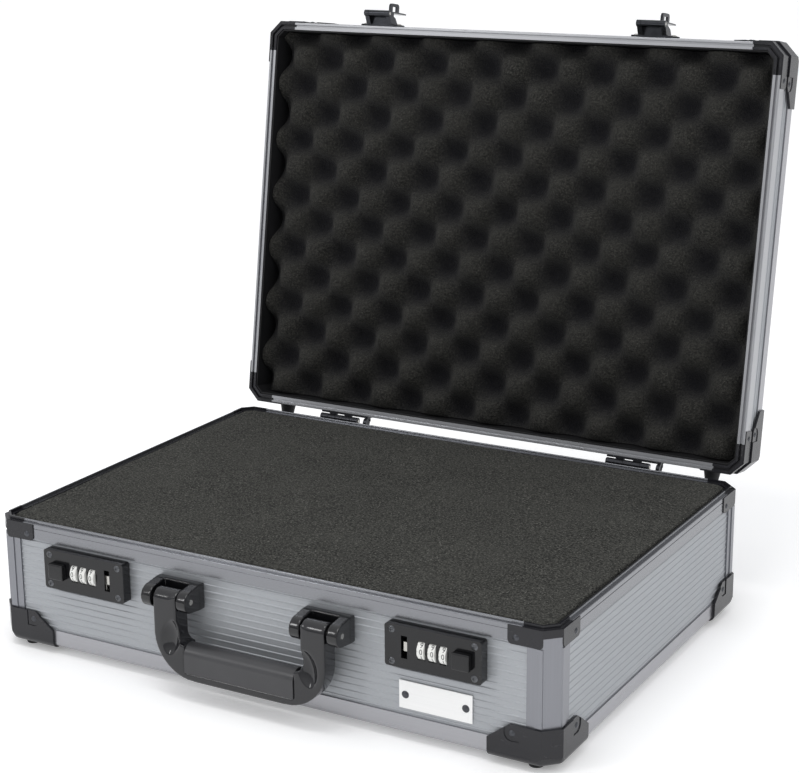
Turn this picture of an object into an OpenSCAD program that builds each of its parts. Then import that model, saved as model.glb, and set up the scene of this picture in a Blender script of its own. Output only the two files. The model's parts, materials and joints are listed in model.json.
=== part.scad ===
// Framed aluminium attache case with foam inserts, two combination locks and a
// swinging handle. Drawn open, with the lid resting on its hinge stops.
// The middle of the base is at x = 0, the plane of the feet is z = 0.

/* [Case] */
// Width across the rim corners
case_w = 460; // [400:5:520]
// Depth across the rim corners
case_d = 332; // [300:2:380]
// Height of the base from its bottom rails to its rim
base_h = 95; // [90:1:120]
// Height of the lid from its rim to its top face
lid_h = 38; // [36:1:44]
// Leg of the 45 degree cut across each vertical edge
corner_cut = 10; // [8:0.5:12]
// How far the lid is open, in degrees
lid_open = 99.2; // [92:0.1:105]

/* [Walls] */
// Thickness of the ribbed panels
panel_t = 3.5; // [3:0.1:4]
// Distance between the ribs of a panel
rib_pitch = 5; // [4:0.5:8]
// Height of a rib above its panel
rib_h = 0.5; // [0.3:0.1:0.6]
// Height of the base rim rail
rim_h = 12; // [11:0.5:13]
// Height of the lid rim rail
lid_rim_h = 11; // [10.5:0.5:11.5]
// Height of the rails along the closed edges
edge_h = 13.5; // [12.5:0.5:14]

/* [Feet] */
// Height of the feet under the base
foot_h = 5.5; // [4.5:0.5:8]
// Height of the cones that the closed case stands on when its handle is up
heel_h = 10; // [9.5:0.5:12]

/* [Locks] */
// Distance of each lock's middle from the middle of the case
lock_x = 144; // [135:1:150]
// Height of each lock's middle above the bottom rails
lock_up = 66; // [62:1:68]
// Width of a lock plate
lock_w = 72; // [70:1:76]
// Height of a lock plate
lock_h = 30; // [29:1:31]
// Radius of a number wheel
dial_r = 7.5; // [7:0.1:7.7]
// Travel of a lock button
button_travel = 4; // [3:0.5:4]

/* [Handle] */
// Distance of each handle arm from the middle of the case
arm_x = 61.5; // [58:0.5:66]
// Height of the handle pins above the bottom rails
pin_up = 68; // [66:1:70]

/* [Hidden] */

$fn = 48;
hull_fn = 32;
eps = 0.01;

// Half sizes of the envelope. A depth t is measured inwards from it, and a
// stand-off d outwards.
hx = case_w / 2;
hy = case_d / 2;
// Puts the middle of the open case's footprint at the origin
case_y = -37.8;
// Heights of the bottom rails' underside, the rim and the lid's top face
floor_z = foot_h;
rim_z = foot_h + base_h;
top_z = rim_z + lid_h;

// Depths of the layers of a wall
rail_out = 0.8;
rail_in = 2.2;
panel_in = rail_in + panel_t;
flange_in = panel_in + 1.2;
lining_out = flange_in + 0.1;
lining_in = lining_out + 1.2;
foam_out = lining_in + 0.4;

// Lengths measured along a wall from its corner
rail_end = 25;
cap_leg = 35;
profile_leg = 21.5;
panel_end = 13;
ball_leg = 49;
web = 3;

// Highest point of the ball corners above the outer face
base_peak = 26.5;
lid_peak = 24.4;

// Clearance between the rims of the closed case
rim_gap = 0.1;

// Tongue of the base rim and groove of the lid rim
tongue = [3.0, 4.4];
tongue_h = 2.2;
groove = [2.7, 4.8];
groove_h = 2.6;

// Hinges
hinge_d = 4.3;
hinge_up = 0.9;
hinge_x = 134.5;
hinge_w = 37;
knuckle_r = 3;
hinge_pin_r = 1.3;
leaf_d = 0.6;
stop_x = 25;
stop_w = 3;

// Locks, with their own x from the middle of the plate towards the case's end
plate_d = 6.5;
skin_t = 1.2;
slot_x = -21.3;
slot_w = 4.6;
slot_h = 16;
dial_pitch = 8.2;
dial_w = 4.9;
dial_d = plate_d + 2.4 - dial_r;
shaft_r = 1.5;
button_x = 22.5;
button_w = 13;
button_h = 12;
button_d = 11.6;
lock_z = floor_z + lock_up;
screw_x = 30.8;
screw_z = 11.2;
chassis = [68, 26];

// Hasps: axis stand-off and height from the lid rim, towards the lid
hasp_d = 9.5;
hasp_z = -2;
hasp_x = lock_x + slot_x;
hasp_pin_r = 1.2;
hasp_reach = rim_z + hasp_z - lock_z;
staple_len = 14.4;
tongue_d = [6.9, 8.1];

// Handle
pin_d = 14.5;
pin_r = 2;
pin_z = floor_z + pin_up;
bow_half = 70.2;
bow_inner = 51.2;
bow_bottom = floor_z + 12;
bow_d = [7, 22];
bow_bend = 32;
ear_r = 8;
grip_half = 45;
grip_z = [floor_z + 17.5, floor_z + 38];

// Nameplate
plate_x = 142;
plate_z = floor_z + 28.5;

// Moves the whole case so that its footprint is centred
module placed() { translate([0, case_y, 0]) children(); }

// Turns the closed lid to its rest position on the hinge stops
module lid_pose() {
    placed()
        translate([0, hy + hinge_d, rim_z + hinge_up])
            rotate([-lid_open, 0, 0])
                translate([0, -hy - hinge_d, -rim_z - hinge_up])
                    children();
}

// Turns a hasp from closed, pointing down, to folded back over the lid
module hasp_pose() {
    translate([0, -hy - hasp_d, rim_z + hasp_z])
        rotate([180, 0, 0])
            translate([0, hy + hasp_d, -rim_z - hasp_z])
                children();
}

// Outline of the case at depth t, with its corners cut
module outline(t) {
    x = hx - t;
    y = hy - t;
    c = corner_cut - t * (2 - sqrt(2));
    polygon([[x, c - y], [x, y - c], [x - c, y], [c - x, y],
        [-x, y - c], [-x, c - y], [c - x, -y], [x - c, -y]]);
}

module ring(t_out, t_in) {
    difference() {
        outline(t_out);
        outline(t_in);
    }
}

// The square of side leg at the front right corner
module corner_zone(leg) {
    translate([hx - leg, -hy - 5]) square([leg + 5, leg + 5]);
}

module corner_ring(t_out, t_in, leg) {
    intersection() {
        ring(t_out, t_in);
        corner_zone(leg);
    }
}

// Copies a front right corner to all four corners
module four_corners() {
    for (mx = [0, 1], my = [0, 1])
        mirror([mx, 0, 0]) mirror([0, my, 0]) children();
}

module both_sides() {
    children();
    mirror([1, 0, 0]) children();
}

// Turns height above the bottom rails into height below the lid's top face
module for_lid() {
    translate([0, 0, top_z]) mirror([0, 0, 1])
        translate([0, 0, -floor_z]) children();
}

// Extrudes a wall section, drawn as [depth, height], along one wall
module along_wall(side, length) {
    half = side % 2 == 0 ? hy : hx;
    rotate([0, 0, 90 * side])
        translate([-length / 2, -half, 0])
            rotate([90, 0, 90]) linear_extrude(length) children();
}

module rails(end) {
    for (side = [0:3])
        along_wall(side, side % 2 == 0 ? case_w - 2 * end : case_d - 2 * end)
            children();
}

// Drills holes of radius r through the wall at corner sites (along, height)
module wall_holes(along, height, r, depth) {
    translate([hx - along, -hy - 3, height])
        rotate([-90, 0, 0]) cylinder(r = r, h = depth + 3);
    translate([hx + 3, -hy + along, height])
        rotate([0, -90, 0]) cylinder(r = r, h = depth + 3);
}

// ---- Panels ----

// Section of a ribbed panel between two heights, ribs between two others
module ribbed_section(z0, z1, rib0, rib1) {
    count = floor((rib1 - rib0 - 2) / rib_pitch);
    first = (rib0 + rib1 - count * rib_pitch) / 2;
    ribs = [for (i = [0:count]) let (z = first + i * rib_pitch)
        each [[rail_in, z - 0.9], [rail_in - rib_h, z - 0.4],
            [rail_in - rib_h, z + 0.4], [rail_in, z + 0.9]]];
    polygon(concat([[rail_in, z0]], ribs,
        [[rail_in, z1], [panel_in, z1], [panel_in, z0]]));
}

panel_foot = floor_z + 1.4 + panel_t;
panel_head = rim_z - web - 0.1;

module base_panel(side) {
    end = panel_end + 0.5;
    intersection() {
        along_wall(side, (side % 2 == 0 ? case_w : case_d) - 2 * end)
            ribbed_section(panel_foot, panel_head,
                floor_z + edge_h, rim_z - rim_h);
        union() {
            along_wall(side, (side % 2 == 0 ? case_w : case_d)
                - 2 * profile_leg - 0.4)
                square([20, rim_z]);
            along_wall(side, case_w) translate([rail_in, 0])
                square([20, rim_z]);
        }
    }
}

module base_front_panel() {
    color("#9a9ea6") placed() difference() {
        base_panel(0);
        for (s = [-1, 1]) {
            translate([s * lock_x - chassis[0] / 2 - 0.3, -hy - 1,
                lock_z - chassis[1] / 2 - 0.3])
                cube([chassis[0] + 0.6, 10, chassis[1] + 0.6]);
            for (dx = [-12, 12])
                translate([s * arm_x + dx, -hy - 1, pin_z])
                    rotate([-90, 0, 0]) cylinder(r = 2.1, h = 10);
            translate([plate_x + s * 22.7, -hy - 1, plate_z])
                rotate([-90, 0, 0]) cylinder(r = 1.3, h = 10);
        }
    }
}

module base_rear_panel() {
    color("#9a9ea6") placed() base_panel(2);
}

module base_side_panels() {
    color("#9a9ea6") placed() {
        base_panel(1);
        base_panel(3);
    }
}

module base_bottom_panel() {
    color("#8d9198") placed() difference() {
        translate([0, 0, floor_z + 1.4]) linear_extrude(panel_t)
            outline(rail_in);
        four_corners() foot_hole(2, 20);
    }
}

lid_foot = rim_z + web + 1.1;
lid_head = top_z - 1.4 - panel_t;

module lid_panel(side) {
    end = panel_end + 0.5;
    intersection() {
        along_wall(side, (side % 2 == 0 ? case_w : case_d) - 2 * end)
            ribbed_section(lid_foot, lid_head,
                rim_z + lid_rim_h, top_z - edge_h);
        union() {
            along_wall(side, (side % 2 == 0 ? case_w : case_d)
                - 2 * profile_leg - 0.4)
                translate([0, rim_z]) square([20, lid_h]);
            along_wall(side, case_w) translate([rail_in, rim_z])
                square([20, lid_h]);
        }
    }
}

module lid_front_panel() { color("#9a9ea6") lid_pose() lid_panel(0); }

module lid_rear_panel() { color("#9a9ea6") lid_pose() lid_panel(2); }

module lid_side_panels() {
    color("#9a9ea6") lid_pose() {
        lid_panel(1);
        lid_panel(3);
    }
}

module lid_top_panel() {
    color("#8d9198") lid_pose()
        translate([0, 0, lid_head]) linear_extrude(panel_t)
            outline(rail_in);
}

// ---- Corner profiles ----

// Vertical extrusion that joins two walls, with a slot for each panel
module corner_profile(z0, z1) {
    translate([0, 0, z0]) linear_extrude(z1 - z0) {
        corner_ring(rail_out, rail_in, profile_leg);
        corner_ring(panel_in, flange_in, profile_leg);
        corner_ring(rail_out, flange_in, panel_end);
    }
}

// Raised beads either side of the corner cut, between the black corners
module corner_beads(z0, z1) {
    translate([0, 0, z0]) linear_extrude(z1 - z0) difference() {
        corner_ring(0.1, rail_out + eps, 15.5);
        corner_zone(corner_cut);
    }
}

module base_corner_profiles() {
    color("#8b8e96") placed() four_corners() {
        corner_profile(panel_foot, rim_z - web);
        corner_beads(floor_z + base_peak + 0.1, rim_z - rim_h - 1.5);
    }
}

module lid_corner_profiles() {
    color("#8b8e96") lid_pose() four_corners()
        corner_profile(lid_foot - 0.1, lid_head);
}

// ---- Rails ----

// Section of the rail along a closed edge: an angle with a rounded outside
module edge_section() {
    round_r = 4;
    difference() {
        union() {
            translate([rail_out, floor_z + round_r])
                square([rail_in - rail_out, edge_h - round_r]);
            translate([rail_out + round_r, floor_z])
                square([14 - round_r, 1.4]);
            translate([rail_out + round_r, floor_z + round_r])
                circle(r = round_r);
        }
        translate([rail_in, floor_z + 1.4])
            square([20, edge_h + 5]);
    }
}

module base_bottom_rails() {
    color("#8b8e96") placed() difference() {
        rails(rail_end) edge_section();
        four_corners() wall_holes(31, floor_z + 7, 1.6, 8);
    }
}

module lid_edge_rails() {
    color("#8b8e96") lid_pose() rails(rail_end) for_lid_2d() edge_section();
}

// The same turn over for a section drawn as [depth, height]
module for_lid_2d() {
    translate([0, top_z]) mirror([0, 1]) translate([0, -floor_z]) children();
}

module base_rim_section() {
    translate([0, rim_z - rim_gap]) {
        // face of the rail, with a fine groove along it
        difference() {
            translate([rail_out, -rim_h])
                square([rail_in - rail_out, rim_h - 0.7]);
            translate([rail_out - eps, -3.9]) square([0.35, 0.6]);
        }
        translate([rail_out + 0.7, -1]) square([flange_in - rail_out - 0.7, 1]);
        translate([rail_out + 0.7, -0.7]) circle(r = 0.7);
        translate([rail_in - eps, -web])
            square([flange_in - rail_in + eps, web]);
        translate([panel_in, -9]) square([flange_in - panel_in, 9]);
        translate([tongue[0], -eps])
            square([tongue[1] - tongue[0], tongue_h - 0.7]);
        translate([(tongue[0] + tongue[1]) / 2, tongue_h - 0.7])
            circle(r = (tongue[1] - tongue[0]) / 2);
    }
}

module base_rim_rails() {
    color("#a9adb3") placed() difference() {
        rails(rail_end) base_rim_section();
        four_corners() wall_holes(29, rim_z - 8.5, 1.6, rail_in + 0.5);
    }
}

module lid_rim_section() {
    translate([0, rim_z]) difference() {
        union() {
            translate([rail_out, 0.7])
                square([rail_in - rail_out, lid_rim_h - 0.7]);
            translate([rail_out + 0.7, 0])
                square([flange_in - rail_out - 0.7, 1]);
            translate([rail_out + 0.7, 0.7]) circle(r = 0.7);
            translate([rail_in - eps, 0])
                square([flange_in - rail_in + eps, web + 1]);
            translate([panel_in, 0]) square([flange_in - panel_in, 9]);
        }
        translate([groove[0], -1])
            square([groove[1] - groove[0], groove_h + 1]);
    }
}

module lid_rim_rails() {
    color("#b5b9be") lid_pose() difference() {
        rails(rail_end) lid_rim_section();
        four_corners() wall_holes(29, rim_z + 7, 1.6, rail_in + 0.5);
    }
}

// ---- Black corner pieces ----

// One wall's cap, with rounded ends: from along = cap_leg to the corner cut
module cap_shape(h) {
    r = 3;
    difference() {
        translate([corner_cut, 0]) square([cap_leg - corner_cut, h]);
        for (a = [corner_cut, cap_leg - r])
            translate([a, h - r]) square([r, r]);
    }
    for (a = [corner_cut + r, cap_leg - r])
        translate([a, h - r]) circle(r = r);
}

// Caps on both walls of the front right corner, hanging down from height z
module corner_caps(z, h, up) {
    translate([hx, -hy + rail_out, z]) mirror([1, 0, 0])
        rotate([90, 0, 0]) linear_extrude(rail_out)
            scale_z(up) cap_shape(h);
    translate([hx - rail_out, -hy, z])
        rotate([90, 0, 90]) linear_extrude(rail_out)
            scale_z(up) cap_shape(h);
}

module scale_z(up) {
    mirror([0, up ? 0 : 1]) children();
}

module base_rim_corners() {
    cut_h = 6;
    color("#303236") placed() four_corners() difference() {
        union() {
            corner_caps(rim_z - 0.3, rim_h + 1, false);
            translate([0, 0, rim_z - cut_h]) linear_extrude(cut_h - 0.3)
                corner_ring(0, rail_out, corner_cut + 1.5);
            translate([0, 0, rim_z - web]) linear_extrude(web - rim_gap)
                corner_ring(rail_out - eps, flange_in, rail_end);
            translate([0, 0, rim_z - rim_gap - eps]) linear_extrude(tongue_h)
                corner_ring(tongue[0], tongue[1], rail_end);
        }
        wall_holes(29, rim_z - 8.5, 1.6, 3);
    }
}

module lid_rim_corners() {
    cut_h = 6;
    color("#303236") lid_pose() four_corners() difference() {
        union() {
            corner_caps(rim_z + 0.3, lid_rim_h + 1.3, true);
            translate([0, 0, rim_z + 0.3]) linear_extrude(cut_h - 0.3)
                corner_ring(0, rail_out, corner_cut + 1.5);
            translate([0, 0, rim_z]) linear_extrude(web + 1)
                corner_ring(rail_out - eps, flange_in, rail_end);
        }
        translate([0, 0, rim_z - 1]) linear_extrude(groove_h + 1)
            corner_ring(groove[0], groove[1], rail_end + 3);
        wall_holes(29, rim_z + 7, 1.6, 3);
    }
}

// Silhouette of a ball corner on one wall, as [along, height]
module ball_shape(peak) {
    polygon([[-5, -5], [ball_leg, -5], [ball_leg, edge_h],
        [ball_leg - 16, peak - 1], [ball_leg - 20, peak], [26, peak],
        [12, peak - 0.8], [-5, peak - 0.8]]);
}

// Rounded outer form of the case, standing proud of the rails
module ball_form(peak) {
    proud = 1.2;
    r = 6;
    k = corner_cut + 3;
    hull() {
        for (p = [[hx + proud - r, -hy + k], [hx - k, -hy - proud + r]])
            translate([p[0], p[1], floor_z - proud + r])
                sphere(r = r, $fn = hull_fn);
        translate([0, 0, floor_z + r]) linear_extrude(peak - r)
            intersection() {
                outline(-proud);
                corner_zone(ball_leg);
            }
        for (p = [[hx + proud - r, -hy + ball_leg],
            [hx - ball_leg, -hy - proud + r], [hx - ball_leg, -hy + ball_leg]])
            translate([p[0], p[1], floor_z - proud + r])
                sphere(r = r, $fn = hull_fn);
    }
}

module ball_corner(peak) {
    difference() {
        intersection() {
            ball_form(peak);
            translate([hx, 50, floor_z]) mirror([1, 0, 0])
                rotate([90, 0, 0]) linear_extrude(hy + 60) ball_shape(peak);
            translate([hx - 60, -hy, floor_z])
                rotate([90, 0, 90]) linear_extrude(80) ball_shape(peak);
            linear_extrude(100) polygon([[hx + 5, -hy - 5],
                [hx + 5, -hy + ball_leg], [hx - 16, -hy + ball_leg],
                [hx - ball_leg, -hy + 16], [hx - ball_leg, -hy - 5]]);
        }
        wall_holes(31, floor_z + 19.5, 1.6, 5);
        translate([hx - 31, -hy, floor_z + 19.5]) rivet_pocket();
        translate([hx, -hy + 31, floor_z + 19.5]) rotate([0, 0, 90])
            mirror([1, 0, 0]) rivet_pocket();
    }
}

// Shallow pocket round a rivet, open at the top and towards the corner
module rivet_pocket() {
    r = 5.5;
    translate([0, -0.6, 0]) rotate([90, 0, 0]) linear_extrude(3) {
        circle(r = r);
        translate([-r, 0]) square([2 * r, 20]);
        translate([0, 0.1 - r]) square([r, 20]);
    }
}

// Body of the case inside the ball corners, its bottom edge chamfered
module ball_core() {
    cut = 2.34;
    hull() {
        translate([0, 0, floor_z]) linear_extrude(eps)
            outline(rail_out + cut);
        translate([0, 0, floor_z + cut]) linear_extrude(40)
            outline(rail_out);
    }
}

// Hole for the stem of a foot
module foot_hole(r, h) {
    translate([hx - 19, -hy + 12, 0]) cylinder(r = r, h = h);
}

module base_ball_corners() {
    color("#34363b") placed() difference() {
        four_corners() ball_corner(base_peak);
        ball_core();
        four_corners() foot_hole(2, 20);
    }
}

module lid_ball_corners() {
    color("#34363b") lid_pose() for_lid() difference() {
        four_corners() ball_corner(lid_peak);
        ball_core();
    }
}

module base_feet() {
    color("#1f2023") placed() four_corners()
        translate([hx - 19, -hy + 12, 0]) {
            cylinder(r1 = 5, r2 = 6, h = foot_h - 1.2);
            cylinder(r = 1.95, h = foot_h + 1.4 + panel_t);
        }
}

// Rubber cones on the rear ball corners, with a peg in each rivet hole
module heel_feet() {
    both_sides() translate([hx - 31, hy, floor_z + 19.5]) rotate([-90, 0, 0]) {
        translate([0, 0, 1.2]) cylinder(r1 = 6.9, r2 = 5.3, h = heel_h - 1.2);
        translate([0, 0, 0.6]) cylinder(r = 5.4, h = 1);
        translate([0, 0, 0.1 - rail_out]) cylinder(r = 1.55, h = 3);
    }
}

module base_heel_feet() { color("#1f2023") placed() heel_feet(); }

module lid_heel_feet() {
    color("#1f2023") lid_pose() for_lid() heel_feet();
}

// Domed rivet on the front wall at depth t, shank reaching depth t_end
module rivet(x, z, t, t_end, r) {
    translate([x, -hy + t, z]) rotate([90, 0, 0]) {
        translate([0, 0, t - t_end]) cylinder(r = 1.55, h = t_end - t + 0.1);
        intersection() {
            translate([0, 0, 0.9 - r * 1.4]) sphere(r = r * 1.4);
            cylinder(r = r, h = 3);
        }
    }
}

// The same rivet on the right wall, along = distance from the front
module side_rivet(along, z, t, t_end, r) {
    translate([hx - hy, 0, 0]) rotate([0, 0, 90])
        rivet(along - hy, z, t, t_end, r);
}

module rivet_pair(along, z, t, t_end) {
    rivet(hx - along, z, t, t_end, 2.3);
    side_rivet(along, z, t, t_end, 2.3);
}

// The rear walls have heel feet in place of these rivets
module ball_rivets() {
    both_sides() rivet(hx - 31, floor_z + 19.5, -0.6, rail_out, 2.3);
    four_corners() side_rivet(31, floor_z + 19.5, -0.6, rail_out, 2.3);
}

module base_rivets() {
    color("#5a5d63") placed() {
        four_corners() rivet_pair(29, rim_z - 8.5, 0, rail_in - 0.1);
        ball_rivets();
        for (s = [-1, 1], dx = [-12, 0, 12])
            mirror([0, 1, 0])
                rivet(s * hinge_x + dx, rim_z - 9, -leaf_d, rail_out, 2.2);
    }
}

module lid_rivets() {
    color("#5a5d63") lid_pose() {
        four_corners() rivet_pair(29, rim_z + 7, 0, rail_in - 0.1);
        for_lid() ball_rivets();
        for (s = [-1, 1], dx = [-12, 0, 12])
            mirror([0, 1, 0])
                rivet(s * hinge_x + dx, rim_z + 7, -leaf_d, rail_out, 2.2);
    }
}

// ---- Linings and foams ----

module base_lining() {
    z0 = panel_foot;
    color("#1d1d1f") placed() difference() {
        translate([0, 0, z0]) linear_extrude(rim_z - 0.9 - z0)
            outline(lining_out);
        translate([0, 0, z0 + 1.2]) linear_extrude(base_h)
            outline(lining_in);
    }
}

module lid_lining() {
    color("#1d1d1f") lid_pose() difference() {
        translate([0, 0, rim_z + 0.9]) linear_extrude(lid_head - rim_z - 0.95)
            outline(lining_out);
        translate([0, 0, rim_z - 1])
            linear_extrude(lid_head - 1.2 - rim_z + 1) outline(lining_in);
    }
}

pad_t = 10;

module base_foam_pad() {
    color("#26272a") placed()
        translate([0, 0, panel_foot + 1.4]) linear_extrude(pad_t)
            outline(foam_out);
}

module base_foam_block() {
    z0 = panel_foot + 1.4 + pad_t + 0.2;
    color("#34342f") placed()
        translate([0, 0, z0]) linear_extrude(rim_z + 1.5 - z0)
            outline(foam_out);
}

module lid_foam() {
    color("#2b2b2d") lid_pose()
        translate([0, 0, rim_z + 3.5])
            linear_extrude(lid_head - 1.4 - rim_z - 3.5) outline(foam_out);
}

// ---- Locks, drawn for the right side with their own middle at x = 0 ----

module right_lock() { placed() translate([lock_x, -hy, lock_z]) children(); }

module left_lock() {
    placed() translate([-lock_x, -hy, lock_z]) mirror([1, 0, 0]) children();
}

// Box from x0 to x1 and z0 to z1, from stand-off d0 out to d1
module wall_box(x, z, d) {
    translate([x[0], -d[1], z[0]])
        cube([x[1] - x[0], d[1] - d[0], z[1] - z[0]]);
}

// Round bar pointing out of the wall, from stand-off d[0] to d[1]
module wall_bar(x, z, r, d) {
    translate([x, -d[0], z]) rotate([90, 0, 0]) cylinder(r = r, h = d[1] - d[0]);
}

module plate_outline(grow, r) {
    w = lock_w / 2 + grow - r;
    h = lock_h / 2 + grow - r;
    for (x = [-w, w], z = [-h, h]) translate([x, z]) circle(r = r);
    square([2 * w, 2 * h + 2 * r], center = true);
    square([2 * w + 2 * r, 2 * h], center = true);
}

wall_d = -rail_in + rib_h;

module lock_plate() {
    difference() {
        translate([0, -wall_d - 0.1, 0]) rotate([90, 0, 0])
            linear_extrude(plate_d - wall_d - 0.1) plate_outline(0, 2);
        translate([0, 5, 0]) rotate([90, 0, 0])
            linear_extrude(5 + plate_d - skin_t) plate_outline(-1.6, 1);
        // windows for the wheels, the staple and the button stem
        for (i = [-1:1])
            wall_box([i * dial_pitch - 2.85, i * dial_pitch + 2.85],
                [-6.55, 6.55], [0, 20]);
        wall_box([slot_x - slot_w / 2, slot_x + slot_w / 2],
            [-slot_h / 2, slot_h / 2], [0, 20]);
        wall_box([button_x - 4.6, button_x + 2 + button_travel],
            [-3.6, 3.6], [0, 20]);
        for (x = [-screw_x, screw_x], z = [-screw_z, screw_z])
            wall_bar(x, z, 1.5, [0, 20]);
    }
}

module lock_plate_left() { color("#2f3135") left_lock() lock_plate(); }
module lock_plate_right() { color("#2f3135") right_lock() lock_plate(); }

// Frame behind the plate that holds the wheel shaft and guides the bolt
module chassis_frame() {
    w = chassis[0] / 2;
    h = chassis[1] / 2;
    inner = plate_d - skin_t - 0.1;
    difference() {
        wall_box([-w, w], [-h, h], [-flange_in, inner]);
        wall_box([-w + 1.5, w - 1.5], [-h + 1.2, h - 1.2], [-6.3, 20]);
    }
    // cheeks at the ends of the wheel shaft, clear of the bolt's slide bar
    for (s = [-1, 1]) difference() {
        wall_box([s * 12.3 - 0.6, s * 12.3 + 0.6], [-7, h - 1],
            [-6.4, inner]);
        translate([s * 12.3 - 2, -dial_d, 0]) rotate([0, 90, 0])
            cylinder(r = shaft_r, h = 4);
    }
    // screw posts
    for (x = [-screw_x, screw_x], z = [-screw_z, screw_z])
        wall_box([x - 1.7, x + 1.7], [z > 0 ? h - 3.6 : -h, z > 0 ? h : 3.6 - h],
            [-6.4, inner]);
}

module chassis_bored() {
    difference() {
        chassis_frame();
        for (x = [-screw_x, screw_x], z = [-screw_z, screw_z])
            wall_bar(x, z, 1.5, [-4, 20]);
    }
}

module lock_chassis() {
    color("#6d7076") {
        left_lock() chassis_bored();
        right_lock() chassis_bored();
    }
}

module lock_screw_set() {
    for (x = [-screw_x, screw_x], z = [-screw_z, screw_z])
        difference() {
            union() {
                wall_bar(x, z, 1.45, [-3.8, plate_d]);
                translate([x, -plate_d, z]) rotate([90, 0, 0])
                    intersection() {
                        translate([0, 0, -2.9]) sphere(r = 3.9);
                        cylinder(r = 2.5, h = 3);
                    }
            }
            // cross recess
            wall_box([x - 1.4, x + 1.4], [z - 0.3, z + 0.3],
                [plate_d + 0.3, plate_d + 3]);
            wall_box([x - 0.3, x + 0.3], [z - 1.4, z + 1.4],
                [plate_d + 0.3, plate_d + 3]);
        }
}

module lock_screws() {
    color("#6a6d72") {
        left_lock() lock_screw_set();
        right_lock() lock_screw_set();
    }
}

module dial_shaft() {
    translate([-13.2, -dial_d, 0]) rotate([0, 90, 0])
        cylinder(r = shaft_r, h = 26.4);
}

module dial_shafts() {
    color("#b9bcc0") {
        left_lock() dial_shaft();
        right_lock() dial_shaft();
    }
}

// Number wheel i = 1 to 3, with ten shallow flutes between the numbers
module dial(i) {
    translate([(i - 2) * dial_pitch - dial_w / 2, -dial_d, 0])
        rotate([0, 90, 0]) difference() {
            cylinder(r = dial_r, h = dial_w);
            translate([0, 0, -1]) cylinder(r = shaft_r + 0.05, h = 10);
            for (a = [0:36:359])
                rotate(a + 18) translate([dial_r + 0.75, 0, -1])
                    cylinder(r = 1.1, h = 2.2);
        }
}

module dial_left_1() { color("#e9e9e6") left_lock() dial(3); }
module dial_left_2() { color("#e9e9e6") left_lock() dial(2); }
module dial_left_3() { color("#e9e9e6") left_lock() dial(1); }
module dial_right_1() { color("#e9e9e6") right_lock() dial(1); }
module dial_right_2() { color("#e9e9e6") right_lock() dial(2); }
module dial_right_3() { color("#e9e9e6") right_lock() dial(3); }

// Thumb button: a crowned cap on a stem that passes through the plate
module lock_button() {
    w = button_w / 2;
    h = button_h / 2;
    crown = 60;
    translate([button_x, 0, 0]) {
        intersection() {
            wall_box([-w, w], [-h, h], [plate_d + 0.1, button_d + 5]);
            translate([0, crown - button_d, 0]) rotate([0, 90, 0])
                cylinder(r = crown, h = 30, center = true, $fn = 96);
        }
        wall_box([-4.3, 1.7], [-3.4, 3.4], [2.5, plate_d + 0.2]);
    }
}

module button_left() { color("#2b2c30") left_lock() lock_button(); }
module button_right() { color("#2b2c30") right_lock() lock_button(); }

// Bolt: a tip in the staple slot, an arm under the wheels, a block behind
// the button
module lock_bolt() {
    d = [3, 4.9];
    wall_box([slot_x - 1.2, slot_x + 4], [-3.3, 3.3], d);
    wall_box([slot_x + 1.7, slot_x + 4.3], [-11, 0], d);
    wall_box([slot_x + 1.7, button_x + 2.4], [-11, -8.2], d);
    wall_box([button_x - 4.5, button_x + 2.4], [-11, 3.3], [0.6, 2.5]);
    wall_box([button_x - 4.5, button_x + 2.4], [-11, -8.2], [0.6, d[1]]);
}

module bolt_left() { color("#d5d7d9") left_lock() lock_bolt(); }
module bolt_right() { color("#d5d7d9") right_lock() lock_bolt(); }

// A coil of round wire along x, swept as one closed tube
spring_turns = 3;
spring_steps = 12;
spring_sides = 6;
function coil_point(k, x0, length, r) = let (a = 360 * k / spring_steps)
    [x0 + length * k / (spring_turns * spring_steps), r * cos(a), r * sin(a)];
function coil_ring(k, x0, length, r, wire) =
    let (a = 360 * k / spring_steps, c = coil_point(k, x0, length, r))
    [for (s = [0:spring_sides - 1]) let (b = 360 * s / spring_sides)
        c + wire * [sin(b), cos(a) * cos(b), sin(a) * cos(b)]];

module coil(x0, length, r, wire) {
    last = spring_turns * spring_steps;
    n = spring_sides;
    points = [for (k = [0:last]) each coil_ring(k, x0, length, r, wire)];
    faces = concat(
        [[for (s = [n - 1:-1:0]) s]],
        [for (k = [0:last - 1], s = [0:n - 1]) let (q = (s + 1) % n)
            [k * n + q, (k + 1) * n + q, (k + 1) * n + s, k * n + s]],
        [[for (s = [0:n - 1]) last * n + s]]);
    polyhedron(points = points, faces = faces, convexity = 6);
}

// Spring between the bolt's block and the end of the chassis
module bolt_spring() {
    wire = 0.35;
    x0 = button_x + 2.4 + wire + 0.02;
    x1 = chassis[0] / 2 - 1.5 - wire - 0.02;
    translate([0, -1.5, -3.85]) coil(x0, x1 - x0, 1.5, wire);
}

module bolt_springs() {
    color("#c2c5c9") {
        left_lock() bolt_spring();
        right_lock() bolt_spring();
    }
}

// ---- Handle ----

// Bracket: a back plate with two ears that carry the pin
module handle_bracket() {
    half = 19;
    difference() {
        union() {
            wall_box([-half, half], [-9.5, 9.5], [wall_d, 4.4]);
            for (s = [-1, 1])
                translate([s * 14.9 - 3.9, 0, 0]) rotate([90, 0, 90])
                    linear_extrude(7.8) {
                        translate([-pin_d, 0]) circle(r = ear_r);
                        polygon([[-4, -9.5], [-4, 9.5], [-pin_d, ear_r],
                            [-pin_d, -ear_r]]);
                    }
        }
        translate([-30, -pin_d, 0]) rotate([0, 90, 0])
            cylinder(r = pin_r, h = 60);
        for (dx = [-12, 12]) wall_bar(dx, 0, 2, [-5, 3]);
    }
}

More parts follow.
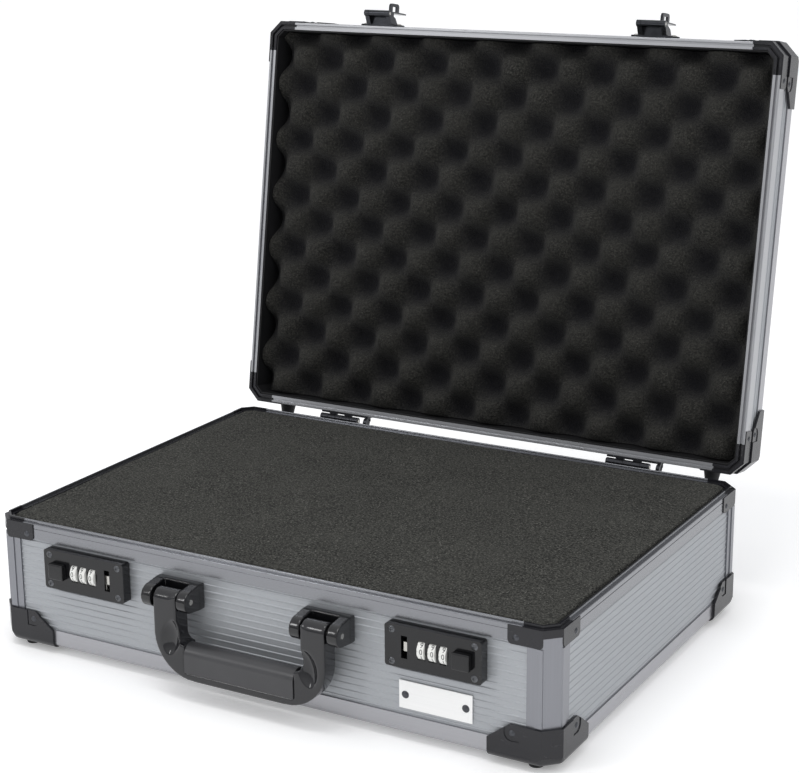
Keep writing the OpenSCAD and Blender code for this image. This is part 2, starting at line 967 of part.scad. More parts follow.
module at_arms() {
    placed() for (s = [-1, 1]) translate([s * arm_x, -hy, pin_z]) children();
}

module handle_brackets() { color("#2c2d31") at_arms() handle_bracket(); }

module handle_pins() {
    color("#8a8d92") at_arms() translate([-18.8, -pin_d, 0])
        rotate([0, 90, 0]) cylinder(r = pin_r, h = 37.6);
}

// Bolts from inside the case into the brackets
module handle_bolts() {
    color("#77797e") at_arms() for (dx = [-12, 12]) {
        wall_bar(dx, 0, 1.98, [-panel_in, 2.9]);
        wall_bar(dx, 0, 3.6, [-flange_in, -panel_in]);
    }
}

// Front view of the bow: a U with round outer and inner bends
module bow_shape() {
    z0 = bow_bottom - pin_z;
    inner = bow_inner;
    bar_top = grip_z[1] - pin_z - 0.6;
    difference() {
        union() {
            translate([-bow_half, z0 + bow_bend])
                square([2 * bow_half, -z0 - bow_bend]);
            translate([bow_bend - bow_half, z0])
                square([2 * (bow_half - bow_bend), bow_bend + 1]);
            for (s = [-1, 1])
                translate([s * (bow_half - bow_bend), z0 + bow_bend])
                    circle(r = bow_bend);
        }
        difference() {
            translate([-inner, bar_top]) square([2 * inner, 90]);
            for (s = [-1, 1]) translate([s * inner, bar_top])
                square([12, 12], center = true);
        }
        for (s = [-1, 1])
            translate([s * (inner - 6), bar_top + 6]) circle(r = 6);
    }
}

// Spindle that cuts a long scoop, on a vertical axis, its ends pointed
module scoop() {
    half = 19;
    w = 9.5;
    r = (half * half + w * w) / (2 * w);
    rotate_extrude() intersection() {
        translate([w - r, 0]) circle(r = r, $fn = 96);
        translate([0, -half]) square([w, 2 * half]);
    }
}

module handle_bow() {
    mid = (bow_d[0] + bow_d[1]) / 2;
    half = (bow_d[1] - bow_d[0]) / 2;
    z0 = grip_z[0] - pin_z;
    color("#3a3b40") placed() translate([0, -hy, pin_z]) difference() {
        union() {
            difference() {
                translate([0, -bow_d[0], 0]) rotate([90, 0, 0])
                    linear_extrude(2 * half) bow_shape();
                // seat of the grip
                wall_box([-grip_half - 0.1, grip_half + 0.1],
                    [z0, z0 + 40], [0, 40]);
            }
            both_sides() translate([bow_inner, -mid, 0]) rotate([0, 90, 0])
                cylinder(r = half, h = bow_half - bow_inner);
            // core that the grip is moulded round
            wall_box([-bow_inner - 1, bow_inner + 1],
                [z0 + 5, grip_z[1] - 6 - pin_z], [10.5, 18.5]);
        }
        translate([-90, -pin_d, 0]) rotate([0, 90, 0])
            cylinder(r = pin_r + 0.06, h = 180);
        // scoops on the inner front edges of the arms
        for (s = [-1, 1]) translate([s * 56.2, -27, -26])
            rotate([0, -s * 12, 0]) scoop();
    }
}

module grip_section() {
    h = grip_z[1] - grip_z[0] - 0.1;
    translate([-14.5, h / 2]) {
        translate([-8, -h / 2]) square([16, h - 7]);
        translate([0, h / 2 - 7.9]) circle(r = 8);
        translate([-8, -h / 2]) square([16, 4]);
    }
}

module handle_grip() {
    color("#38393c") placed() translate([0, -hy, grip_z[0] + 0.1])
        difference() {
            translate([-grip_half, 0, 0]) rotate([90, 0, 90])
                linear_extrude(2 * grip_half) grip_section();
            translate([-60, -18.5, 4.9])
                cube([120, 8, grip_z[1] - grip_z[0] - 11]);
        }
}

// ---- Nameplate ----

module nameplate() {
    color("#e4e4e2") placed() translate([plate_x, -hy, plate_z])
        difference() {
            wall_box([-27.5, 27.5], [-10, 10], [wall_d, wall_d + 0.8]);
            for (s = [-1, 1]) wall_bar(s * 22.7, 0, 1.3, [-5, 5]);
        }
}

module nameplate_rivets() {
    color("#4a4c50") placed() translate([plate_x, -hy, plate_z])
        for (s = [-1, 1]) {
            wall_bar(s * 22.7, 0, 1.25, [-5.5, wall_d + 1.1]);
            translate([s * 22.7, -wall_d - 0.8, 0]) rotate([90, 0, 0])
                intersection() {
                    translate([0, 0, -3.2]) sphere(r = 4.3);
                    cylinder(r = 2.7, h = 3);
                }
        }
}

// ---- Hinges ----

module at_hinges() {
    for (s = [-1, 1])
        translate([s * hinge_x, hy, rim_z]) children();
}

// Five knuckles share the barrel: the base has 1, 3 and 5, the lid 2 and 4
knuckle_w = hinge_w / 5;

module knuckle(i, r) {
    translate([-hinge_w / 2 + i * knuckle_w + 0.1, hinge_d, hinge_up])
        rotate([0, 90, 0]) cylinder(r = r, h = knuckle_w - 0.2);
}

module barrel_bore(r) {
    translate([-30, hinge_d, hinge_up]) rotate([0, 90, 0])
        cylinder(r = r, h = 52);
}

module base_leaf() {
    difference() {
        union() {
            translate([-hinge_w / 2, -rail_out, -14])
                cube([hinge_w / 2 + stop_x + stop_w + 1, leaf_d + rail_out,
                    12.6]);
            for (i = [0, 2, 4]) {
                knuckle(i, knuckle_r);
                translate([-hinge_w / 2 + i * knuckle_w + 0.1, -rail_out, -3.4])
                    cube([knuckle_w - 0.2, hinge_d + rail_out, 2]);
            }
        }
        barrel_bore(hinge_pin_r);
        for (dx = [-12, 0, 12]) translate([dx, -5, -9])
            rotate([-90, 0, 0]) cylinder(r = 1.6, h = 10);
    }
}

module hinge_base_leaves() { color("#7d8085") placed() at_hinges() base_leaf(); }

module hinge_pins() {
    color("#9a9da2") placed() at_hinges()
        translate([-hinge_w / 2 - 0.4, hinge_d, hinge_up]) rotate([0, 90, 0])
            cylinder(r = hinge_pin_r, h = hinge_w + 0.8);
}

module lid_leaf() {
    difference() {
        union() {
            translate([-hinge_w / 2, -rail_out, 0.6])
                cube([hinge_w / 2 + stop_x + stop_w, leaf_d + rail_out, 10]);
            for (i = [1, 3]) {
                knuckle(i, knuckle_r);
                translate([-hinge_w / 2 + i * knuckle_w + 0.1, -rail_out, 1.4])
                    cube([knuckle_w - 0.2, hinge_d + rail_out, 2]);
            }
        }
        barrel_bore(hinge_pin_r + 0.06);
        for (dx = [-12, 0, 12]) translate([dx, -5, 7])
            rotate([-90, 0, 0]) cylinder(r = 1.6, h = 10);
    }
}

// Stop leg, drawn where it rests on the base leaf with the lid open
module stop_leg() {
    translate([stop_x, hinge_d, hinge_up]) {
        rotate([0, 90, 0]) cylinder(r = 3.5, h = stop_w);
        translate([0, -3.65, -5]) cube([stop_w, 1.9, 5]);
        translate([0, 0, 0]) cube([stop_w, 5, 4.1]);
    }
}

module hinge_lid_leaves() {
    color("#7d8085") {
        lid_pose() at_hinges() lid_leaf();
        placed() at_hinges() stop_leg();
    }
}

// ---- Hasps ----

module at_hasps() {
    for (s = [-1, 1]) translate([s * hasp_x, -hy, rim_z]) children();
}

module hasp_plate() {
    half = 20;
    r = 6.5;
    difference() {
        union() {
            translate([0, 0, 8]) rotate([90, 0, 0])
                translate([0, 0, -rail_out]) linear_extrude(1.5) {
                    for (s = [-1, 1]) translate([s * (half - r), 0])
                        circle(r = r);
                    square([2 * (half - r), 2 * r], center = true);
                }
            for (s = [-1, 1]) translate([s * 10.1 - 1.9, 0, 0])
                rotate([90, 0, 90]) linear_extrude(3.8) {
                    translate([-hasp_d, hasp_z]) circle(r = 2.6);
                    polygon([[-0.2, 1.8], [-0.2, 12.5], [-6, 8],
                        [-hasp_d, hasp_z + 2.6], [-hasp_d - 1, hasp_z],
                        [-hasp_d + 2.6, hasp_z]]);
                }
            // rest for the folded tongue
            wall_box([-8.3, 8.3], [3.2, 11], [0, 10.85]);
        }
        translate([-20, -hasp_d, hasp_z]) rotate([0, 90, 0])
            cylinder(r = hasp_pin_r, h = 40);
        for (s = [-1, 1]) translate([s * 15.6, 3, 8]) rotate([90, 0, 0])
            cylinder(r = 1.6, h = 10);
    }
}

module hasp_plates() { color("#606368") lid_pose() at_hasps() hasp_plate(); }

module hasp_screws() {
    color("#8a8c90") lid_pose() at_hasps() for (s = [-1, 1]) {
        wall_bar(s * 15.6, 8, 1.55, [-rail_out, 0.7]);
        translate([s * 15.6, -0.7, 8]) rotate([90, 0, 0]) difference() {
            intersection() {
                translate([0, 0, -2.6]) sphere(r = 3.9);
                cylinder(r = 2.8, h = 3);
            }
            translate([-1.4, -0.3, 0.5]) cube([2.8, 0.6, 2]);
            translate([-0.3, -1.4, 0.5]) cube([0.6, 2.8, 2]);
        }
    }
}

module hasp_pins() {
    color("#9a9da2") lid_pose() at_hasps() translate([-12, -hasp_d, hasp_z])
        rotate([0, 90, 0]) cylinder(r = hasp_pin_r, h = 24);
}

// Tongue with its staple, drawn closed and then folded back
module hasp() {
    down = hasp_z - hasp_reach;
    difference() {
        union() {
            translate([-8, -hasp_d, hasp_z]) rotate([0, 90, 0])
                cylinder(r = 2.4, h = 16);
            wall_box([-8, 8], [hasp_z - 2.4, hasp_z], [tongue_d[0], 9.5]);
            translate([0, -tongue_d[0], 0]) rotate([90, 0, 0])
                linear_extrude(tongue_d[1] - tongue_d[0])
                    polygon([[-7, hasp_z - 1.5], [7, hasp_z - 1.5],
                        [5.5, down - 8], [4, down - 14.5],
                        [-4, down - 14.5], [-5.5, down - 8]]);
            // staple: an arch with a hole for the bolt
            translate([-1, 0, down]) rotate([90, 0, 90]) linear_extrude(2)
                difference() {
                    union() {
                        translate([-tongue_d[0] - 0.2, -staple_len / 2])
                            square([5, staple_len]);
                        for (s = [-1, 1])
                            translate([-2.5, s * (staple_len / 2 - 3)])
                                circle(r = 3);
                        translate([-2.5, 3 - staple_len / 2])
                            square([3, staple_len - 6]);
                    }
                    translate([-7, -3.7]) square([4.8, 7.4]);
                }
        }
        translate([-20, -hasp_d, hasp_z]) rotate([0, 90, 0])
            cylinder(r = hasp_pin_r + 0.06, h = 40);
    }
}

module hasp_left() {
    color("#55585d") lid_pose() hasp_pose()
        translate([-hasp_x, -hy, rim_z]) hasp();
}

module hasp_right() {
    color("#55585d") lid_pose() hasp_pose()
        translate([hasp_x, -hy, rim_z]) hasp();
}

base_bottom_panel();
base_front_panel();
base_rear_panel();
base_side_panels();
base_corner_profiles();
base_bottom_rails();
base_rim_rails();
base_rim_corners();
base_ball_corners();
base_feet();
base_heel_feet();
base_rivets();
base_lining();
base_foam_block();
base_foam_pad();
lock_plate_left();
lock_plate_right();
lock_chassis();
lock_screws();
dial_shafts();
button_left();
button_right();
bolt_left();
bolt_right();
bolt_springs();
dial_left_1();
dial_left_2();
dial_left_3();
dial_right_1();
dial_right_2();
dial_right_3();
handle_brackets();
handle_pins();
handle_bolts();
handle_bow();
handle_grip();
nameplate();
nameplate_rivets();
hinge_base_leaves();
hinge_pins();
lid_top_panel();
lid_front_panel();
lid_rear_panel();
lid_side_panels();
lid_corner_profiles();
lid_edge_rails();
lid_rim_rails();
lid_rim_corners();
lid_ball_corners();
lid_heel_feet();
lid_rivets();
lid_lining();
lid_foam();
hinge_lid_leaves();
hasp_plates();
hasp_screws();
hasp_pins();
hasp_left();
hasp_right();
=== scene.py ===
"""Looks of the aluminium attache case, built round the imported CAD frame."""
import json
import math

import bmesh
import bpy
import numpy as np
from mathutils import Matrix, Vector


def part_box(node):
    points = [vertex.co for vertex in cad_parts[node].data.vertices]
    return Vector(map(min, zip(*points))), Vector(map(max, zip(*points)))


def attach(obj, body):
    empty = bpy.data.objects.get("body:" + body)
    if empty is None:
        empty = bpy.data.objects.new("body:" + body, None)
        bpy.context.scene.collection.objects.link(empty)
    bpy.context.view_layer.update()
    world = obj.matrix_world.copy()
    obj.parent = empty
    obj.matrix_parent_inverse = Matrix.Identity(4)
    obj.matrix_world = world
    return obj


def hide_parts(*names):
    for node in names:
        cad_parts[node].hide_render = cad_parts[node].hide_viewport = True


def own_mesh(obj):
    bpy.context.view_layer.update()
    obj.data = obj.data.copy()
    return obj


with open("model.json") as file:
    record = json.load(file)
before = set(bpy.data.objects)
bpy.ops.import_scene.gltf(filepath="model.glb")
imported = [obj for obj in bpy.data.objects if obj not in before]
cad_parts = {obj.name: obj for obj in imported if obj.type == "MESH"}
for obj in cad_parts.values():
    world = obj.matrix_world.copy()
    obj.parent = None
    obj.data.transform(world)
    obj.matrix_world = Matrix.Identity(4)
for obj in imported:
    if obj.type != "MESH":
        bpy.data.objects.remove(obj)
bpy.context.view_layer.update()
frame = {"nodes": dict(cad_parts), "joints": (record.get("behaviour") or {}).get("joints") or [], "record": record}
nodes = frame["nodes"]
body_of_node = {n: b for b, members in frame["record"]["behaviour"]["bodies"].items() for n in members}
MM = 0.001

# The closed lid turned to its rest position, and back
hinge = next(j for j in frame["joints"] if j["name"] == "lid_hinge")
HINGE_AT = Vector(hinge["pos_m"])
LID_OPEN = math.radians(max(hinge["range_deg"]))
OPEN = (Matrix.Translation(HINGE_AT) @ Matrix.Rotation(-LID_OPEN, 4, "X")
        @ Matrix.Translation(-HINGE_AT))
ON_LID = {"lid", "hasp_left", "hasp_right"}

# Case sizes in millimetres, in the case's own frame: y is measured from its middle
HALF_X, HALF_Y, CASE_Y = 230.0, 166.0, -37.8
RIM_Z, RIM_GAP, CUT = 100.5, 0.1, 10.0
BASE_FOAM_Z = 101.2
CRATE_Z, CRATE_KNOB = 124.2, 19.4
# Heights over which the lid's foam gets painted shade down in its valleys
VALLEY_SHADE_Z = (110.0, 123.0)


def case(x, y, z, on_lid=False):
    """A point of the closed case, in millimetres, as a point of the row frame."""
    p = Vector((x * MM, (y + CASE_Y) * MM, z * MM))
    return OPEN @ p if on_lid else p


# ---------------------------------------------------------------- materials

class Tree:
    """A material's node tree, with a call for each kind of node used here."""

    def __init__(self, name):
        self.material = bpy.data.materials.new(name)
        self.material.use_nodes = True
        self.nt = self.material.node_tree
        self.nt.nodes.clear()
        self.out = self.nt.nodes.new("ShaderNodeOutputMaterial")
        self.shader = self.nt.nodes.new("ShaderNodeBsdfPrincipled")
        self.nt.links.new(self.shader.outputs[0], self.out.inputs[0])

    def put(self, socket, value):
        if isinstance(value, bpy.types.NodeSocket):
            self.nt.links.new(value, socket)
        elif value is not None:
            socket.default_value = value

    def set(self, name, value):
        self.put(self.shader.inputs[name], value)

    def coords(self, on_lid=False):
        """Object coordinates, in the closed case's directions."""
        out = self.nt.nodes.new("ShaderNodeTexCoord").outputs["Object"]
        if not on_lid:
            return out
        return self.mapped(out, turn=LID_OPEN, shift=OPEN.inverted().translation)

    def mapped(self, vector, scale=(1, 1, 1), turn=0.0, shift=(0, 0, 0)):
        node = self.nt.nodes.new("ShaderNodeMapping")
        self.put(node.inputs["Vector"], vector)
        node.inputs["Location"].default_value = shift
        node.inputs["Rotation"].default_value = (turn, 0, 0)
        node.inputs["Scale"].default_value = scale
        return node.outputs[0]

    def noise(self, vector, scale=1.0, detail=2.0, rough=0.5, distort=0.0):
        node = self.nt.nodes.new("ShaderNodeTexNoise")
        self.put(node.inputs["Vector"], vector)
        settings = {"Scale": scale, "Detail": detail, "Roughness": rough, "Distortion": distort}
        for key, value in settings.items():
            node.inputs[key].default_value = value
        return node.outputs["Fac"]

    def cells(self, vector, scale):
        node = self.nt.nodes.new("ShaderNodeTexVoronoi")
        self.put(node.inputs["Vector"], vector)
        node.inputs["Scale"].default_value = scale
        return node.outputs["Distance"]

    def ranged(self, value, low, high, to_low, to_high):
        node = self.nt.nodes.new("ShaderNodeMapRange")
        self.put(node.inputs[0], value)
        for i, v in enumerate((low, high, to_low, to_high)):
            self.put(node.inputs[i + 1], v)
        return node.outputs[0]

    def math(self, operation, a, b=0.0):
        node = self.nt.nodes.new("ShaderNodeMath")
        node.operation = operation
        self.put(node.inputs[0], a)
        self.put(node.inputs[1], b)
        return node.outputs[0]

    def mix(self, factor, a, b, blend="MIX"):
        node = self.nt.nodes.new("ShaderNodeMix")
        node.data_type = "RGBA"
        node.blend_type = blend
        self.put(node.inputs[0], factor)
        for socket, value in ((node.inputs[6], a), (node.inputs[7], b)):
            self.put(socket, value if isinstance(value, bpy.types.NodeSocket) else (*value, 1))
        return node.outputs[2]

    def bump(self, height, distance, strength=1.0):
        node = self.nt.nodes.new("ShaderNodeBump")
        self.put(node.inputs["Height"], height)
        node.inputs["Distance"].default_value = distance
        node.inputs["Strength"].default_value = strength
        return node.outputs[0]


def shade(colour, factor):
    return tuple(min(1.0, c * factor) for c in colour)


def metal(name, colour, rough, grain=(10, 10, 900), on_lid=False, vary=0.10, bump=0.00002,
          metallic=0.9, wear=0.12):
    """Drawn or stamped metal: fine lines along it, soft patches of tone, and a few rubbed marks."""
    t = Tree(name)
    at = t.coords(on_lid)
    lines = t.noise(t.mapped(at, grain), 1.0, 4.0, 0.65)
    patch = t.noise(at, 14.0, 3.0, 0.55)
    marks = t.noise(t.mapped(at, (60, 60, 420)), 1.0, 5.0, 0.7, 0.3)
    tone = t.mix(t.ranged(lines, 0.3, 0.7, 0, 1), shade(colour, 1 - vary), shade(colour, 1 + vary))
    tone = t.mix(t.ranged(patch, 0.35, 0.65, 0, 0.5), tone, shade(colour, 1 + vary * 0.6))
    tone = t.mix(t.ranged(marks, 0.66, 0.74, 0, wear), tone, shade(colour, 1.5))
    t.set("Base Color", tone)
    t.set("Metallic", metallic)
    level = t.math("ADD", t.ranged(lines, 0.25, 0.75, rough - 0.05, rough + 0.06),
                   t.ranged(patch, 0.3, 0.7, -0.03, 0.03))
    t.set("Roughness", level)
    t.set("Normal", t.bump(lines, bump, 0.6))
    return t.material


def plastic(name, colour, rough, on_lid=False, grain=700.0, bump=0.00004, vary=0.14, specular=0.5,
            scuffs=0.10, coat=0.0):
    """Moulded plastic or paint: fine moulded grain, patches of tone, and pale scuffs."""
    t = Tree(name)
    at = t.coords(on_lid)
    fine = t.noise(at, grain, 3.0, 0.6)
    patch = t.noise(at, 22.0, 4.0, 0.6)
    scuff = t.noise(t.mapped(at, (90, 240, 240)), 1.0, 6.0, 0.75, 0.6)
    tone = t.mix(t.ranged(patch, 0.3, 0.7, 0, 1), shade(colour, 1 - vary), shade(colour, 1 + vary))
    tone = t.mix(t.ranged(fine, 0.55, 0.8, 0, 0.35), tone, shade(colour, 1.35))
    tone = t.mix(t.ranged(scuff, 0.64, 0.74, 0, scuffs), tone, (0.30, 0.30, 0.31))
    t.set("Base Color", tone)
    t.set("Specular IOR Level", specular)
    t.set("Roughness", t.math("ADD", t.ranged(patch, 0.3, 0.7, rough - 0.05, rough + 0.05),
                              t.ranged(scuff, 0.6, 0.75, 0, 0.12)))
    t.set("Coat Weight", coat)
    t.set("Coat Roughness", 0.08)
    t.set("Normal", t.bump(fine, bump, 0.7))
    return t.material


def foam(name, dark, light, speck, on_lid=False, valley_shade_colour=None):
    """Open-cell foam: pores with painted shade in them, a coarse mottled tone, pale specks, and painted shade down
    in its valleys.
    """
    t = Tree(name)
    at = t.coords(on_lid)
    pores = t.cells(at, 900.0)
    mottle = t.noise(at, 600.0, 2.0, 0.6)
    broad = t.noise(at, 26.0, 3.0, 0.55)
    specks = t.noise(at, 760.0, 1.0, 0.5)
    tone = t.mix(t.ranged(mottle, 0.40, 0.60, 0, 1), dark, light)
    # Painted shade: darker at the middles of the pores, the hollows of the bump
    tone = t.mix(t.ranged(pores, 0.15, 0.75, 0.4, 0), tone, shade(dark, 0.5))
    tone = t.mix(t.ranged(specks, 0.60, 0.72, 0, 0.8), tone, speck)
    tone = t.mix(t.ranged(broad, 0.3, 0.7, 0, 0.2), tone, shade(light, 1.2))
    # Painted shade: the tone darkens towards the valley colour down in the knobs' valleys
    if valley_shade_colour is not None:
        split = t.nt.nodes.new("ShaderNodeSeparateXYZ")
        t.put(split.inputs[0], at)
        valley_shade = t.ranged(split.outputs["Z"], VALLEY_SHADE_Z[0] * MM, VALLEY_SHADE_Z[1] * MM, 0, 0.75)
        tone = t.mix(valley_shade, tone, valley_shade_colour)
    t.set("Base Color", tone)
    t.set("Roughness", t.ranged(mottle, 0.3, 0.7, 0.88, 1.0))
    t.set("Specular IOR Level", 0.12)
    t.set("Sheen Weight", 0.04)
    height = t.math("ADD", t.math("MULTIPLY", pores, 0.6), mottle)
    t.set("Normal", t.bump(height, 0.0015, 0.9))
    return t.material


made_materials = {}


def slot_material(slot, lid):
    """The material for a record slot, made once for the base and once for the lid."""
    key = slot + ("_lid" if lid else "")
    if key not in made_materials:
        make = {
            "panel": lambda n: metal(n, (0.40, 0.415, 0.435), 0.55, (7, 7, 1100), lid, 0.04, 0.000004, 0.6,
                                     0.05),
            "panel_flat": lambda n: metal(n, (0.40, 0.415, 0.435), 0.55, (7, 1100, 7), lid, 0.04, 0.000004,
                                          0.6, 0.05),
            "rail": lambda n: metal(n, (0.37, 0.37, 0.39), 0.30, (9, 9, 1500), lid, 0.05, 0.000008),
            # The base's rim gets a darker colour than the lid's: painted shade, for the dim reflections along the
            # base's rails
            "rim": lambda n: metal(n, (0.40, 0.405, 0.42) if lid else (0.23, 0.235, 0.25),
                                   0.31 if lid else 0.22,
                                   (9, 9, 1500), lid, 0.05, 0.000008),
            "profile": lambda n: metal(n, (0.235, 0.24, 0.26), 0.32, (700, 700, 9), lid, 0.05, 0.000008),
            "black_plastic": lambda n: plastic(n, (0.013, 0.013, 0.016), 0.24, lid, specular=0.4),
            "rubber_foot": lambda n: plastic(n, (0.014, 0.014, 0.015), 0.62, lid, specular=0.3),
            "rivet": lambda n: metal(n, (0.075, 0.078, 0.086), 0.32, (300, 300, 300), lid, 0.2),
            "lining": lambda n: plastic(n, (0.010, 0.010, 0.011), 0.55, lid, 1300.0, specular=0.3),
            "lock_plate": lambda n: plastic(n, (0.006, 0.006, 0.007), 0.16, lid, 900.0, 0.00001,
                                            specular=0.35, coat=0.15),
            "lock_steel": lambda n: metal(n, (0.12, 0.124, 0.132), 0.30, (200, 200, 900), lid, 0.15),
            "bright_steel": lambda n: metal(n, (0.50, 0.49, 0.46), 0.24, (200, 200, 900), lid, 0.05),
            "dial": lambda n: plastic(n, (0.78, 0.78, 0.75), 0.30, lid, 900.0, vary=0.05, scuffs=0.2),
            "handle_bow": lambda n: plastic(n, (0.011, 0.011, 0.013), 0.13, lid, 900.0, 0.00001,
                                            specular=0.4, coat=0.3),
            "bracket": lambda n: plastic(n, (0.006, 0.006, 0.007), 0.13, lid, 900.0, 0.00001, specular=0.4,
                                         coat=0.3),
            "grip": lambda n: plastic(n, (0.040, 0.040, 0.043), 0.36, lid, 1400.0, 0.00006),
            "nameplate": lambda n: metal(n, (0.90, 0.90, 0.89), 0.36, (12, 12, 1600), lid, 0.03,
                                         metallic=0.1),
            "hinge_steel": lambda n: metal(n, (0.035, 0.036, 0.040), 0.26, (200, 200, 900), lid, 0.15),
            "hasp_steel": lambda n: metal(n, (0.040, 0.042, 0.047), 0.20, (200, 200, 900), lid, 0.15),
        }
        make["foam"] = lambda n: foam(n, (0.03, 0.03, 0.029), (0.055, 0.055, 0.05), (0.1, 0.1, 0.09), lid)
        made_materials[key] = make[slot]("mat_" + key)
    return made_materials[key]


# ---------------------------------------------------------------- finishing the CAD nodes

def shading_group(name, angle, clean):
    """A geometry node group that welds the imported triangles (clean) and keeps edges over an angle sharp."""
    ng = bpy.data.node_groups.new(name, "GeometryNodeTree")
    ng.interface.new_socket("Geometry", in_out="INPUT", socket_type="NodeSocketGeometry")
    ng.interface.new_socket("Geometry", in_out="OUTPUT", socket_type="NodeSocketGeometry")
    geometry = ng.nodes.new("NodeGroupInput").outputs[0]

    def through(kind, **inputs):
        nonlocal geometry
        node = ng.nodes.new(kind)
        ng.links.new(geometry, node.inputs["Geometry"])
        for key, value in inputs.items():
            node.inputs[key].default_value = value
        geometry = node.outputs["Geometry"]
        return node

    through("GeometryNodeRemoveAttribute", Name="custom_normal")
    if clean:
        through("GeometryNodeMergeByDistance", Distance=2e-6)
    through("GeometryNodeSetShadeSmooth")
    edges = through("GeometryNodeSetShadeSmooth")
    edges.domain = "EDGE"
    bend = ng.nodes.new("GeometryNodeInputMeshEdgeAngle")
    test = ng.nodes.new("FunctionNodeCompare")
    test.operation = "LESS_THAN"
    ng.links.new(bend.outputs["Unsigned Angle"], test.inputs[0])
    test.inputs[1].default_value = math.radians(angle)
    ng.links.new(test.outputs[0], edges.inputs["Shade Smooth"])
    ng.links.new(geometry, ng.nodes.new("NodeGroupOutput").inputs[0])
    return ng


WELD = shading_group("weld_and_smooth", 30, True)
SMOOTH = shading_group("smooth_by_angle", 50, False)


def soften(o, bevel=0.0, segments=2, dissolve=1.0):
    """Rounds a CAD node's sharp edges, by modifiers only."""
    o.modifiers.new("weld", "NODES").node_group = WELD
    if not bevel:
        return
    flat = o.modifiers.new("flat", "DECIMATE")
    flat.decimate_type = "DISSOLVE"
    flat.angle_limit = math.radians(dissolve)
    b = o.modifiers.new("edges", "BEVEL")
    b.width = bevel * MM
    b.segments = segments
    b.limit_method = "ANGLE"
    b.angle_limit = math.radians(32)
    o.modifiers.new("smooth", "NODES").node_group = SMOOTH
    w = o.modifiers.new("normals", "WEIGHTED_NORMAL")
    w.keep_sharp = True


def melt(o, voxel, rounds):
    """Blends a moulded CAD node's edges into soft curves, by modifiers only."""
    o.modifiers.new("weld", "NODES").node_group = WELD
    r = o.modifiers.new("voxels", "REMESH")
    r.mode = "VOXEL"
    r.voxel_size = voxel * MM
    r.use_smooth_shade = True
    s = o.modifiers.new("relax", "SMOOTH")
    s.factor = 0.5
    s.iterations = rounds


BEVELS = {
    "base_corner_profiles": 0.25, "lid_corner_profiles": 0.25,
    "base_bottom_rails": 0.2, "lid_edge_rails": 0.2, "base_rim_rails": 0.3, "lid_rim_rails": 0.3,
    "base_rim_corners": 0.25, "lid_rim_corners": 0.25, "base_ball_corners": 0.4, "lid_ball_corners": 0.4,
    "lock_plate_left": 0.8, "lock_plate_right": 0.8, "button_left": 0.9, "button_right": 0.9,
    "base_feet": 0.4, "base_heel_feet": 0.5, "lid_heel_feet": 0.5, "nameplate": 0.15,
    "hinge_base_leaves": 0.15, "hinge_lid_leaves": 0.2, "hasp_plates": 0.25, "hasp_left": 0.25,
    "hasp_right": 0.25, "bolt_left": 0.2, "bolt_right": 0.2, "base_lining": 0.3, "lid_lining": 0.3,
    "handle_grip": 0.35, "lock_screws": 0.1,
}
SPECIAL_SLOT = {
    "base_corner_profiles": "profile", "lid_corner_profiles": "profile", "base_bottom_panel": "panel_flat",
    "lid_top_panel": "panel_flat", "handle_brackets": "bracket",
}

for name, o in nodes.items():
    lid = body_of_node[name] in ON_LID
    record_slot = o.material_slots[0].material.name.split(".")[0]
    o.material_slots[0].material = slot_material(SPECIAL_SLOT.get(name, record_slot), lid)
    if name == "handle_bow":
        melt(o, 0.7, 8)
    elif name == "handle_brackets":
        melt(o, 0.55, 4)
    else:
        soften(o, BEVELS.get(name, 0.0), 3 if name.startswith(("lock_plate", "button")) else 2)


# ---------------------------------------------------------------- pieces

def add(name, points, faces, material, body):
    """A smooth-shaded mesh piece that rides on a body."""
    mesh = bpy.data.meshes.new(name)
    mesh.from_pydata([tuple(p) for p in points], [], faces)
    mesh.validate()
    bm = bmesh.new()
    bm.from_mesh(mesh)
    bmesh.ops.recalc_face_normals(bm, faces=bm.faces)
    bm.to_mesh(mesh)
    bm.free()
    mesh.materials.append(material)
    mesh.polygons.foreach_set("use_smooth", [True] * len(mesh.polygons))
    o = bpy.data.objects.new(name, mesh)
    bpy.context.scene.collection.objects.link(o)
    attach(o, body)
    return o


def waves(x, y, seed, length, count=7):
    """Smooth seeded noise from -1 to 1, of about that wavelength."""
    r = np.random.default_rng(seed)
    total = np.zeros_like(x)
    for _ in range(count):
        a, phase, k = r.uniform(0, 2 * math.pi), r.uniform(0, 2 * math.pi), r.uniform(0.7, 1.4)
        total += np.sin(2 * math.pi * k / length * (x * math.cos(a) + y * math.sin(a)) + phase)
    return total / count ** 0.5 / 1.4


